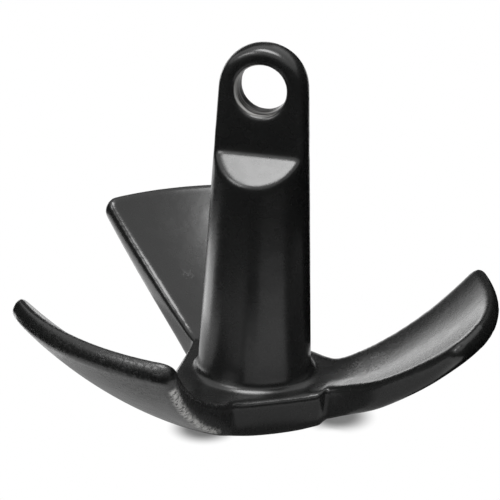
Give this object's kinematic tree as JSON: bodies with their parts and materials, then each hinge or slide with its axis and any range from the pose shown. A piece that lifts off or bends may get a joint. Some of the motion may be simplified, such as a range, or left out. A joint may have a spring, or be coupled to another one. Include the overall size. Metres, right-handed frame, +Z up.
{
  "type": "river anchor",
  "caption": "One-piece cast anchor with a tapered round shank, a bored lug at its head, and a bowl of upswept flukes round a flat-soled hub, all under a black dipped coat.",
  "frame": {"origin": "centre of the flat sole that the anchor stands on, on the shank's axis", "axes": "+Z up the shank, +X along the first fluke and across the lug's width, +Y along the eye's bore"},
  "size_m": [0.2321, 0.2612, 0.1992],
  "materials": {
    "coated_casting": "semi-gloss black dipped vinyl coat over the casting"
  },
  "bodies": {
    "root": {"anchor_casting": "coated_casting"}
  },
  "joints": []
}
